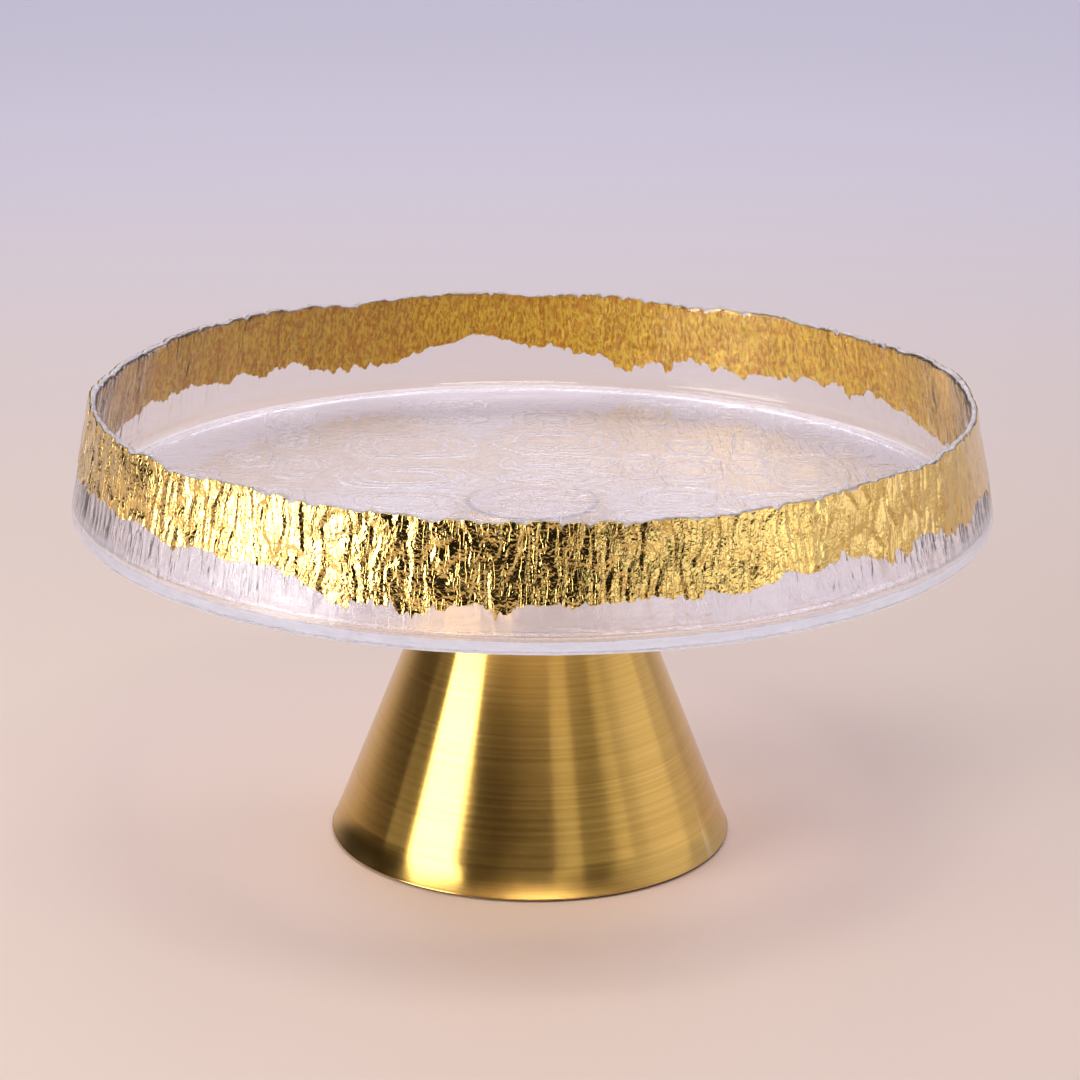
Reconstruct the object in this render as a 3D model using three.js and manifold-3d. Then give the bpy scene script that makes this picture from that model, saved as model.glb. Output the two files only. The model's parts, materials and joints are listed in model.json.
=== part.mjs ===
// Cake stand: a gilded glass tray clamped to a hollow brushed-gold cone.
// Millimetres, +Z up. The origin is the middle of the footprint, on the surface that the stand rests on.
import * as THREE from "three";
import { mergeVertices } from "three/addons/utils/BufferGeometryUtils.js";
import Module from "manifold-3d";

const wasm = await Module();
wasm.setup();

// ---- Driving dimensions ----

// Whole stand
const STAND_HEIGHT = 150.8;

// Glass tray
const TRAY_DIAMETER = 300;
const TRAY_DEPTH = 39;
const FLOOR_THICKNESS = 3.4;
const WALL_FOOT_THICKNESS = 3.4;
const RIM_THICKNESS = 2.4;
const WALL_LEAN = 6.7;
const FOOT_FILLET = 4.3;
const INNER_FILLET = 2.4;
const RIM_EDGE = 0.5;

// Gilding on the outside of the wall
const SIZE_THICKNESS = 0.15;
const LEAF_THICKNESS = 0.15;
const LEAF_BELOW_RIM = 0.5;
const BARE_LIP = { angle: 64, halfWidth: 11, depth: 1.8 };

// Pedestal
const BASE_DIAMETER = 134;
const NECK_DIAMETER = 46.8;
const SHEET = 1.2;
const CONE_EDGE = 0.5;
const TOP_DISC_THICKNESS = 2;

// Foot of the pedestal
const PAD_THICKNESS = 2.6;
const PAD_PROUD = 0.6;
const BASE_RING_THICKNESS = 1.5;
const BASE_RING_WIDTH = 14;
const PAD_SET_BACK = 1.2;

// Clamp between the glass and the pedestal
const BOND_THICKNESS = 0.3;
const PLATE_THICKNESS = 4;
const BOSS_DIAMETER = 18;
const BOSS_LENGTH = 2.6;
const GASKET_THICKNESS = 1;
const BOLT_DIAMETER = 8;
const BOLT_LENGTH = 10;
const BOLT_HEAD_FLATS = 13;
const BOLT_HEAD_HEIGHT = 5.3;
const WASHER_DIAMETER = 24;
const WASHER_THICKNESS = 2;
const LOCK_WASHER_DIAMETER = 14.8;
const LOCK_WASHER_THICKNESS = 2;
const LOCK_WASHER_SPLIT = 2;

// Clearances
const SKIN_GAP = 0.05; // between glass, size and leaf
const LIP_GAP = 0.8; // between the neck's edge and the glass
const WELD_GAP = 0.15; // between a disc or ring and the cone that it is welded in
const PLATE_GAP = 1.6; // between the bonding plate and the neck
const BOSS_GAP = 0.3; // round the boss
const BOLT_GAP = 0.3; // round the bolt, with its thread left out

// Height of the torn edge of the leaf above the tray's underside, against the angle from +X in degrees.
const TORN_EDGE = [
  [0, 14.7], [10, 12.2], [18, 11], [23, 12.3], [32, 15.4], [37, 17.1], [48, 16.4], [54, 13.6],
  [60, 12.5], [66, 16.3], [75, 12], [81, 15], [89, 17.1], [95, 21.1], [100, 25], [102, 20.4],
  [105, 18.1], [110, 13.7], [119, 11.2], [125, 17.4], [134, 17.5], [143, 17.3], [154, 18.2],
  [166, 14.8], [178, 17], [190, 18.8], [200, 19.5], [205, 18.8], [216, 21.2], [222, 17.7],
  [227, 18.8], [233, 19.1], [239, 21.2], [244, 18.5], [247, 12.5], [253, 13.3], [261, 14],
  [268, 14.2], [279, 16.7], [287, 16.5], [295, 14.8], [300, 20.6], [305, 16.9], [310, 21],
  [312, 17.9], [321, 17], [326, 19.4], [333, 13.3], [341, 17.5], [350, 16.2],
];

// Height of the uneven rim above or below its mean, against the angle from +X in degrees.
const RIM_WAVE = [
  [0, -0.2], [9, 0.5], [20, 0.6], [26, -0.2], [33, -1.3], [41, -1.5], [48, -0.4], [60, -0.4],
  [71, -1.4], [77, 0.6], [85, 0.3], [91, -1.2], [94, 0.3], [105, 1.1], [112, 0.3], [118, -1.3],
  [121, 0.3], [130, 1], [145, 0.8], [160, 0.4], [170, -0.9], [182, 0.2], [198, 1.2], [210, 0.6],
  [216, 1.2], [222, 0.6], [236, 1.6], [247, 0.7], [260, -0.2], [266, 0.3], [278, -0.4],
  [283, 0], [292, -1.2], [303, -0.1], [313, 0.6], [323, 0.4], [328, -0.7], [332, 0.7], [345, 0],
];

// ---- Worked out from the driving dimensions ----

const TRAY_SEGMENTS = 120;
const PEDESTAL_SEGMENTS = 72;
const SMALL_SEGMENTS = 36;
const ARC_STEPS = 5;

const trayFoot = TRAY_DIAMETER / 2;
const trayUnderside = STAND_HEIGHT - TRAY_DEPTH;
const trayFloor = trayUnderside + FLOOR_THICKNESS;
const wallStart = trayUnderside + FOOT_FILLET;
const rimOuter = trayFoot - WALL_LEAN;
const wallSlope = -WALL_LEAN / (STAND_HEIGHT - wallStart);

const plateTop = trayUnderside - BOND_THICKNESS;
const plateBottom = plateTop - PLATE_THICKNESS;
const bossBottom = plateBottom - BOSS_LENGTH;
const discTop = plateBottom - GASKET_THICKNESS;
const discBottom = discTop - TOP_DISC_THICKNESS;
const washerBottom = discBottom - WASHER_THICKNESS;
const lockWasherBottom = washerBottom - LOCK_WASHER_THICKNESS;

const coneBottom = PAD_PROUD;
const coneTop = trayUnderside - LIP_GAP;
const coneSlope = (NECK_DIAMETER - BASE_DIAMETER) / 2 / (coneTop - coneBottom);
const sheetAcross = SHEET * Math.hypot(1, coneSlope);
const plateRadius = coneInner(coneTop) - PLATE_GAP;
const boltHole = BOLT_DIAMETER / 2 + BOLT_GAP;
const discHole = BOSS_DIAMETER / 2 + BOSS_GAP;

/** Outer radius of the cone at height z. */
function coneOuter(z) {
  return BASE_DIAMETER / 2 + coneSlope * (z - coneBottom);
}

/** Inner radius of the cone at height z. */
function coneInner(z) {
  return coneOuter(z) - sheetAcross;
}

/** Outer radius of the tray's wall at height z. */
function wallOuter(z) {
  return trayFoot + wallSlope * (z - wallStart);
}

/** Value at an angle in degrees, on straight lines between the [angle, value] pairs of a full turn. */
function aroundTurn(pairs, angle) {
  const turned = ((angle % 360) + 360) % 360;
  const after = pairs.findIndex(([a]) => a > turned);
  const end = after < 0 ? [360 + pairs[0][0], pairs[0][1]] : pairs[after];
  const start = pairs[(after < 0 ? pairs.length : after) - 1];
  return start[1] + ((end[1] - start[1]) * (turned - start[0])) / (end[0] - start[0]);
}

/** Height of the rim at an angle in degrees. */
function rimHeight(angle) {
  return STAND_HEIGHT + aroundTurn(RIM_WAVE, angle);
}

/** Height of the leaf's upper edge, which drops below a bare lip of glass at the back. */
function leafTop(angle) {
  const off = Math.min(1, Math.abs(angle - BARE_LIP.angle) / BARE_LIP.halfWidth);
  return rimHeight(angle) - LEAF_BELOW_RIM - BARE_LIP.depth * (1 - off * off);
}

/** Height of the leaf's torn lower edge. */
function leafBottom(angle) {
  return trayUnderside + aroundTurn(TORN_EDGE, angle);
}

// ---- Geometry helpers ----

/** Points of a quarter or other arc in a profile, from one angle to another, in degrees. */
function arc(centreR, centreZ, radius, from, to) {
  return Array.from({ length: ARC_STEPS + 1 }, (_, i) => {
    const a = THREE.MathUtils.degToRad(from + ((to - from) * i) / ARC_STEPS);
    return [centreR + radius * Math.cos(a), centreZ + radius * Math.sin(a)];
  });
}

/** Solid of revolution about Z. The profile's [radius, height] points run counter-clockwise. */
function turned(profile, segments) {
  const points = profile.map(([r, z]) => new THREE.Vector2(r, z));
  if (profile[0][0] > 0) points.push(points[0].clone());
  return new THREE.LatheGeometry(points, segments).rotateX(Math.PI / 2);
}

/** Flat ring or washer between two heights. */
function ring(inner, outer, bottom, top, segments) {
  return turned([[inner, bottom], [outer, bottom], [outer, top], [inner, top]], segments);
}

/** Moves each vertex of a turned solid to the [radius, height] that place(radius, height, angle) gives. */
function reshape(geometry, place) {
  const position = geometry.getAttribute("position");
  for (let i = 0; i < position.count; i += 1) {
    const radius = Math.hypot(position.getX(i), position.getY(i));
    if (radius < 1e-6) continue;
    const direction = Math.atan2(position.getY(i), position.getX(i));
    const angle = Math.round(THREE.MathUtils.radToDeg(direction) * 1e4) / 1e4;
    const [r, z] = place(radius, position.getZ(i), angle < 0 ? angle + 360 : angle);
    position.setXYZ(i, r * Math.cos(direction), r * Math.sin(direction), z);
  }
  geometry.computeVertexNormals();
  return geometry;
}

/** A closed geometry as a manifold-3d solid. */
function solid(geometry) {
  const bare = geometry.clone();
  bare.deleteAttribute("normal");
  bare.deleteAttribute("uv");
  const merged = mergeVertices(bare, 1e-4);
  return new wasm.Manifold(
    new wasm.Mesh({
      numProp: 3,
      vertProperties: merged.attributes.position.array,
      triVerts: new Uint32Array(merged.index.array),
    }),
  );
}

/** A manifold-3d solid as a geometry. */
function geometryOf(made) {
  const { numProp, vertProperties, triVerts } = made.getMesh();
  const interleaved = new THREE.InterleavedBuffer(vertProperties, numProp);
  const geometry = new THREE.BufferGeometry();
  geometry.setAttribute("position", new THREE.InterleavedBufferAttribute(interleaved, 3, 0));
  geometry.setIndex(new THREE.BufferAttribute(triVerts, 1));
  const flat = geometry.toNonIndexed();
  flat.computeVertexNormals();
  return flat;
}

/** A named mesh with its own material. */
function piece(name, geometry, color, roughness, metalness, opacity = 1) {
  const material = new THREE.MeshStandardMaterial({ color, roughness, metalness });
  material.opacity = opacity;
  material.transparent = opacity < 1;
  const mesh = new THREE.Mesh(geometry, material);
  mesh.name = name;
  return mesh;
}

// ---- Glass tray and its gilding ----

/** Dish with a flat floor, an inward-leaning wall, a rounded foot and an uneven rim. */
function glassTray() {
  const wallInnerFoot = trayFoot - WALL_FOOT_THICKNESS;
  const rimInner = rimOuter - RIM_THICKNESS;
  const profile = [
    [0, trayUnderside],
    ...arc(trayFoot - FOOT_FILLET, wallStart, FOOT_FILLET, -90, 0),
    [wallOuter(STAND_HEIGHT - RIM_EDGE), STAND_HEIGHT - RIM_EDGE],
    [rimOuter - RIM_EDGE, STAND_HEIGHT],
    [rimInner + RIM_EDGE, STAND_HEIGHT],
    [rimInner, STAND_HEIGHT - RIM_EDGE],
    ...arc(wallInnerFoot - INNER_FILLET, trayFloor + INNER_FILLET, INNER_FILLET, 0, -90),
    [0, trayFloor],
  ];
  return reshape(turned(profile, TRAY_SEGMENTS), (radius, height, angle) => {
    if (height < STAND_HEIGHT - 2 * RIM_EDGE) return [radius, height];
    const lift = rimHeight(angle) - STAND_HEIGHT;
    return [radius + wallSlope * lift, height + lift];
  });
}

/** Thin skin on the outside of the wall, from the leaf's upper edge down to its torn edge. */
function wallSkin(offset, thickness) {
  const inner = trayFoot + offset;
  const outer = inner + thickness;
  const band = ring(inner, outer, 0, 1, TRAY_SEGMENTS);
  return reshape(band, (radius, height, angle) => {
    const z = height > 0.5 ? leafTop(angle) : leafBottom(angle);
    return [wallOuter(z) + radius - trayFoot, z];
  });
}

/** Amber adhesive varnish under the leaf. */
function leafSize() {
  return wallSkin(SKIN_GAP, SIZE_THICKNESS);
}

/** Metal leaf over the varnish. */
function goldLeaf() {
  return wallSkin(2 * SKIN_GAP + SIZE_THICKNESS, LEAF_THICKNESS);
}

// ---- Pedestal ----

/** Hollow cone of sheet, open at both ends, with an eased lower edge. */
function pedestalCone() {
  const eased = coneBottom + CONE_EDGE;
  return turned(
    [
      [coneInner(coneBottom), coneBottom],
      [coneOuter(coneBottom) - CONE_EDGE, coneBottom],
      [coneOuter(eased), eased],
      [coneOuter(coneTop), coneTop],
      [coneInner(coneTop), coneTop],
    ],
    PEDESTAL_SEGMENTS,
  );
}

/** Disc or ring that fits inside the cone between two heights, with a hole of the given radius. */
function fittedInCone(hole, bottom, top, setBack) {
  return turned(
    [
      [hole, bottom],
      [coneInner(bottom) - setBack, bottom],
      [coneInner(top) - setBack, top],
      [hole, top],
    ],
    PEDESTAL_SEGMENTS,
  );
}

/** Disc in the neck that the tray is clamped to. */
function topDisc() {
  return fittedInCone(discHole, discBottom, discTop, WELD_GAP);
}

/** Radius of the opening in the foot of the pedestal. */
function footOpening() {
  return coneInner(PAD_THICKNESS) - BASE_RING_WIDTH;
}

/** Flat ring inside the mouth of the cone. */
function baseRing() {
  return fittedInCone(footOpening(), PAD_THICKNESS, PAD_THICKNESS + BASE_RING_THICKNESS, WELD_GAP);
}

/** Foam ring under the base ring. */
function antiSlipPad() {
  const outer = coneInner(PAD_THICKNESS) - PAD_SET_BACK;
  return ring(footOpening() + PAD_SET_BACK, outer, 0, PAD_THICKNESS, PEDESTAL_SEGMENTS);
}

// ---- Clamp ----

/** Film of clear adhesive between the plate and the glass. */
function bondFilm() {
  return turned(
    [[0, plateTop], [plateRadius, plateTop], [plateRadius, trayUnderside], [0, trayUnderside]],
    PEDESTAL_SEGMENTS,
  );
}

/** Plate with a boss that sits in the hole of the top disc. */
function bondingPlate() {
  return turned(
    [
      [boltHole, bossBottom],
      [BOSS_DIAMETER / 2, bossBottom],
      [BOSS_DIAMETER / 2, plateBottom],
      [plateRadius, plateBottom],
      [plateRadius, plateTop],
      [boltHole, plateTop],
    ],
    PEDESTAL_SEGMENTS,
  );
}

/** Soft washer between the plate and the top disc. */
function topGasket() {
  return ring(discHole, plateRadius, discTop, plateBottom, PEDESTAL_SEGMENTS);
}

/** Wide washer that bridges the hole of the top disc. */
function plainWasher() {
  return ring(boltHole, WASHER_DIAMETER / 2, washerBottom, discBottom, SMALL_SEGMENTS);
}

/** Split spring washer, pressed flat. */
function lockWasher() {
  const outer = LOCK_WASHER_DIAMETER / 2;
  const split = LOCK_WASHER_SPLIT / (outer + boltHole);
  const shape = new THREE.Shape();
  shape.absarc(0, 0, outer, split, 2 * Math.PI - split, false);
  shape.absarc(0, 0, boltHole, 2 * Math.PI - split, split, true);
  const options = { depth: LOCK_WASHER_THICKNESS, bevelEnabled: false, curveSegments: SMALL_SEGMENTS };
  return new THREE.ExtrudeGeometry(shape, options).translate(0, 0, lockWasherBottom);
}

/** Hexagon bolt, its head down, with a plain shank. */
function clampBolt() {
  const headBottom = lockWasherBottom - BOLT_HEAD_HEIGHT;
  const corner = BOLT_HEAD_FLATS / 2 / Math.cos(Math.PI / 6);
  const shankTop = lockWasherBottom + BOLT_LENGTH;
  const chamfer = corner - BOLT_HEAD_FLATS / 2;
  const head = new THREE.CylinderGeometry(corner, corner, BOLT_HEAD_HEIGHT, 6);
  head.rotateX(Math.PI / 2).translate(0, 0, headBottom + BOLT_HEAD_HEIGHT / 2);
  const envelope = turned(
    [
      [0, headBottom],
      [corner - chamfer, headBottom],
      [corner + chamfer, headBottom + chamfer],
      [corner + chamfer, lockWasherBottom],
      [0, lockWasherBottom],
    ],
    SMALL_SEGMENTS,
  );
  const shank = turned(
    [
      [0, headBottom + 1],
      [BOLT_DIAMETER / 2, headBottom + 1],
      [BOLT_DIAMETER / 2, shankTop - 1],
      [BOLT_DIAMETER / 2 - 1, shankTop],
      [0, shankTop],
    ],
    SMALL_SEGMENTS,
  );
  return geometryOf(solid(head).intersect(solid(envelope)).add(solid(shank)));
}

// ---- Assembly ----

const tray = new THREE.Group();
tray.add(
  piece("glass_tray", glassTray(), 0xe6dde4, 0.12, 0, 0.35),
  piece("leaf_size", leafSize(), 0xb9822b, 0.3, 0.2),
  piece("gold_leaf", goldLeaf(), 0xd9a83e, 0.3, 1),
);

const pedestal = new THREE.Group();
pedestal.add(
  piece("pedestal_cone", pedestalCone(), 0xb08a48, 0.32, 1),
  piece("top_disc", topDisc(), 0x8d8f91, 0.45, 1),
  piece("base_ring", baseRing(), 0x8d8f91, 0.45, 1),
  piece("anti_slip_pad", antiSlipPad(), 0x191919, 0.95, 0),
);

const clamp = new THREE.Group();
clamp.add(
  piece("bond_film", bondFilm(), 0xe9eef0, 0.1, 0, 0.35),
  piece("bonding_plate", bondingPlate(), 0xb9bcbe, 0.3, 1),
  piece("top_gasket", topGasket(), 0x232323, 0.9, 0),
  piece("plain_washer", plainWasher(), 0xb7babd, 0.35, 1),
  piece("lock_washer", lockWasher(), 0x9ea1a3, 0.35, 1),
  piece("clamp_bolt", clampBolt(), 0xa8abad, 0.35, 1),
);

const cakeStand = new THREE.Group();
cakeStand.add(tray, pedestal, clamp);

export default cakeStand;
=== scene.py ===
"""Looks of a cake stand: a gilded glass tray clamped to a hollow brushed-gold cone.

Metres, +Z up. The origin is the middle of the footprint, and the viewer stands on the -Y side.
"""

import json
import logging
import math
from dataclasses import dataclass, field
from enum import Enum

import bpy
import numpy as np
from mathutils import Euler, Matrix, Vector


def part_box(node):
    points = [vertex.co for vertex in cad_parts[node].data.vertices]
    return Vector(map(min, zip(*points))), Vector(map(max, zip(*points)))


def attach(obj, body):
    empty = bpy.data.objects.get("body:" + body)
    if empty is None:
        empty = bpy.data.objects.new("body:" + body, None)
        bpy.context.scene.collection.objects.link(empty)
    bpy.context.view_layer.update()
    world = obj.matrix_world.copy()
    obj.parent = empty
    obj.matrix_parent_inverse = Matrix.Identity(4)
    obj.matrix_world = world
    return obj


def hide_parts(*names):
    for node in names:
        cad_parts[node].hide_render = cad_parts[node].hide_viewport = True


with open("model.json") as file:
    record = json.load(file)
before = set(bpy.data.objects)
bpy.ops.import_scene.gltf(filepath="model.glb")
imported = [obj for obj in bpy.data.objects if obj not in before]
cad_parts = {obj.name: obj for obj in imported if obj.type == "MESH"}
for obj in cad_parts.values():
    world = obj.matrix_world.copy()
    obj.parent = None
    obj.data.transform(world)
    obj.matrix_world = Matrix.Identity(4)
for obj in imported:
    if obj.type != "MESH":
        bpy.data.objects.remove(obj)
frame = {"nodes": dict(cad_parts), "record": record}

LOG = logging.getLogger("cake_stand")
MM = 0.001
BODY = "root"
BAND = 0.147
CELL_MARK = "cell"
RIM_MARK = "rim"
SAME_ROW = 0.4

Colour = tuple[float, float, float, float]
Socket = bpy.types.NodeSocket


# ---- numbers


def ease(share: np.ndarray) -> np.ndarray:
    """Smooth step of shares between 0 and 1."""
    share = np.clip(share, 0.0, 1.0)
    return share * share * (3.0 - 2.0 * share)


@dataclass(frozen=True)
class WrappedNoise:
    """Smooth random values between -1 and 1 over a band that closes on itself.

    seed fixes the values, cells is the number of knots round the band, and rise is the height of
    one knot spacing.
    """

    seed: int
    cells: int
    rise: float
    rows: int = 64

    def at(self, turn: np.ndarray, height: np.ndarray) -> np.ndarray:
        """Value of the noise.

        Args:
            turn: Place round the band, in turns.
            height: Height above the table.

        Returns:
            Values between -1 and 1.
        """
        knots = np.random.default_rng(self.seed).uniform(-1.0, 1.0, (self.cells, self.rows))
        across, up = (turn % 1.0) * self.cells, height / self.rise
        i, j = np.floor(across).astype(int), np.floor(up).astype(int)
        right, above = ease(across - i), ease(up - j)
        i0, i1 = i % self.cells, (i + 1) % self.cells
        j0, j1 = j % self.rows, (j + 1) % self.rows
        low = knots[i0, j0] * (1 - right) + knots[i1, j0] * right
        high = knots[i0, j1] * (1 - right) + knots[i1, j1] * right
        return low * (1 - above) + high * above


def round_noise(seed: int, cells: int, turn: np.ndarray) -> np.ndarray:
    """Smooth random values between -1 and 1 that change only with the turn.

    Args:
        seed: Fixes the values.
        cells: Number of knots round the band.
        turn: Place round the band, in turns.

    Returns:
        The values.
    """
    return WrappedNoise(seed, cells, 1.0).at(turn, np.full_like(turn, SAME_ROW))


def creased(value: np.ndarray, width: float, level: float = 0.0) -> np.ndarray:
    """Broad flats with sharp creases where a value passes 0.

    Args:
        value: The value, between -1 and 1.
        width: Half width of a crease, in the value's units.
        level: How far everything is lowered.

    Returns:
        Heights up to 1 less the level.
    """
    return ease(np.abs(value) / width) - level


def points_of(mesh: bpy.types.Mesh) -> np.ndarray:
    """The mesh's points."""
    return np.array([v.co for v in mesh.vertices], float)


def turn_of(x: np.ndarray, y: np.ndarray) -> np.ndarray:
    """Place of points round the axis, in turns from 0 to 1."""
    return np.arctan2(y, x) / math.tau % 1.0


class Outline:
    """Lowest and highest points of a CAD node round its outer edge, against the turn."""

    outer_share: float = 0.9
    digits: int = 4

    def __init__(self, node: str) -> None:
        """Reads the node's vertices.

        Args:
            node: Name of the CAD node.
        """
        points = points_of(frame["nodes"][node].data)
        radius = np.hypot(points[:, 0], points[:, 1])
        outer = points[radius > self.outer_share * radius.max()]
        turn = np.round(turn_of(outer[:, 0], outer[:, 1]), self.digits) % 1.0
        self.turns = np.unique(turn)
        self.low = np.array([outer[turn == t, 2].min() for t in self.turns])
        self.high = np.array([outer[turn == t, 2].max() for t in self.turns])

    def bottom(self, turn: np.ndarray) -> np.ndarray:
        """Height of the lower edge at each turn."""
        return np.interp(turn, self.turns, self.low, period=1.0)

    def top(self, turn: np.ndarray) -> np.ndarray:
        """Height of the upper edge at each turn."""
        return np.interp(turn, self.turns, self.high, period=1.0)


# ---- meshes


def circle(count: int, radius: float | np.ndarray, height: float | np.ndarray) -> np.ndarray:
    """Points of one ring about Z.

    Args:
        count: Number of points.
        radius: One radius, or one for each point.
        height: One height, or one for each point.

    Returns:
        An array of count points.
    """
    angle = np.arange(count) * math.tau / count
    spread = np.ones(count)
    return np.stack([radius * np.cos(angle), radius * np.sin(angle), height * spread], axis=1)


def arc(centre: tuple[float, float], radius: float, start: float, end: float, steps: int) -> list:
    """Points of an arc in a profile.

    Args:
        centre: Radius and height of the arc's centre.
        radius: Radius of the arc.
        start: First angle, in degrees.
        end: Last angle, in degrees.
        steps: Number of stretches.

    Returns:
        A list of (radius, height) pairs.
    """
    angles = np.radians(np.linspace(start, end, steps + 1))
    return [(centre[0] + radius * math.cos(a), centre[1] + radius * math.sin(a)) for a in angles]


class RingBody:
    """A closed body lofted through rings about Z.

    A ring has as many points as its neighbour, half as many or twice as many. The rings run so that
    the body lies on their left, seen in a section with the axis on the left: outwards along the
    underside, up the outside and inwards along the top.
    """

    def __init__(self, rings: list[np.ndarray], closed: bool) -> None:
        """Takes the rings.

        Args:
            rings: The rings in order.
            closed: True if the last ring joins the first; False if both ends close on the axis.
        """
        self.rings = rings
        self.closed = closed

    def _between(self, a: int, first: int, b: int, second: int) -> list[tuple[int, ...]]:
        """Faces between two rings.

        Args:
            a: Number of points of the first ring.
            first: Index of its first point.
            b: Number of points of the second ring.
            second: Index of its first point.

        Returns:
            The faces.
        """
        if a == b:
            j = np.arange(a)
            k = (j + 1) % a
            return list(zip(first + j, first + k, second + k, second + j))
        if a == 2 * b:
            j = np.arange(b)
            k, left, mid, right = (j + 1) % b, 2 * j, 2 * j + 1, (2 * j + 2) % a
            return [
                *zip(first + left, first + mid, second + j),
                *zip(first + mid, second + k, second + j),
                *zip(first + mid, first + right, second + k),
            ]
        flipped = self._between(b, second, a, first)
        return [tuple(reversed(f)) for f in flipped]

    def make(self, name: str) -> bpy.types.Object:
        """Builds the mesh.

        Args:
            name: Name of the piece.

        Returns:
            The new object, smooth shaded.
        """
        counts = [len(r) for r in self.rings]
        starts = np.concatenate([[0], np.cumsum(counts)]).astype(int)
        points = np.concatenate(self.rings)
        faces: list[tuple[int, ...]] = []
        for i in range(len(self.rings) - (0 if self.closed else 1)):
            n = (i + 1) % len(self.rings)
            faces += self._between(counts[i], starts[i], counts[n], starts[n])
        if not self.closed:
            first, last = len(points), len(points) + 1
            ends = [self.rings[0].mean(axis=0), self.rings[-1].mean(axis=0)]
            points = np.vstack([points, ends])
            j = np.arange(counts[0])
            faces += list(zip(starts[0] + (j + 1) % counts[0], starts[0] + j, [first] * counts[0]))
            j = np.arange(counts[-1])
            top = starts[-2]
            faces += list(zip(top + j, top + (j + 1) % counts[-1], [last] * counts[-1]))
        mesh = bpy.data.meshes.new(name)
        mesh.from_pydata(points.tolist(), [], [tuple(int(v) for v in f) for f in faces])
        mesh.polygons.foreach_set("use_smooth", np.ones(len(mesh.polygons), bool))
        mesh.update()
        piece = bpy.data.objects.new(name, mesh)
        bpy.context.scene.collection.objects.link(piece)
        return piece


def report(piece: bpy.types.Object) -> None:
    """Logs a new piece."""
    LOG.info("%s: %d faces", piece.name, len(piece.data.polygons))


# ---- material tools


class Effect(Enum):
    """Shader node groups that more than one finish uses."""

    BRUSHING = "turned_brushing"
    SMUDGES = "handling_smudges"
    SPECKLE = "fine_speckle"
    EDGE_WEAR = "edge_wear"


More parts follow.
